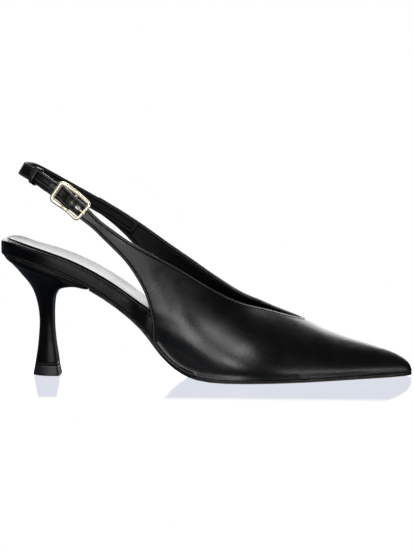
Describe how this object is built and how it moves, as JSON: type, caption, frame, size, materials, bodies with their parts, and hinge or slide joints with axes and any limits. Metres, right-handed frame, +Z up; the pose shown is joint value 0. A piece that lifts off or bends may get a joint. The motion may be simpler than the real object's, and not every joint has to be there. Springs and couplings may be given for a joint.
{
  "type": "slingback pump",
  "caption": "Slingback pump for the right foot: pointed closed toe, hollow upper, bare sides at the heel, high flared heel, and a sling behind the foot closed by a buckle.",
  "frame": {"origin": "on the floor under the middle of the shoe's bounding box", "axes": "+X towards the toe, +Y towards the inner side of the foot, +Z up"},
  "size_m": [0.25, 0.0744, 0.1302],
  "materials": {
    "black_leather": "smooth black leather, soft gloss",
    "wrapped_leather": "smooth black leather stretched over heel and footbed",
    "sock_leather": "glossy black lining leather",
    "sole_leather": "tan sole leather with a black edge",
    "black_rubber": "hard black top lift, slightly glossy",
    "black_elastic": "black woven elastic",
    "pale_gold": "polished pale gold plating"
  },
  "bodies": {
    "root": {"outsole": "sole_leather", "footbed": "wrapped_leather", "sock_lining": "sock_leather", "heel": "wrapped_leather", "top_lift": "black_rubber", "upper": "black_leather", "sling_strap": "black_leather", "elastic": "black_elastic", "keeper": "black_leather", "buckle_frame": "pale_gold", "buckle_prong": "pale_gold"}
  },
  "joints": []
}
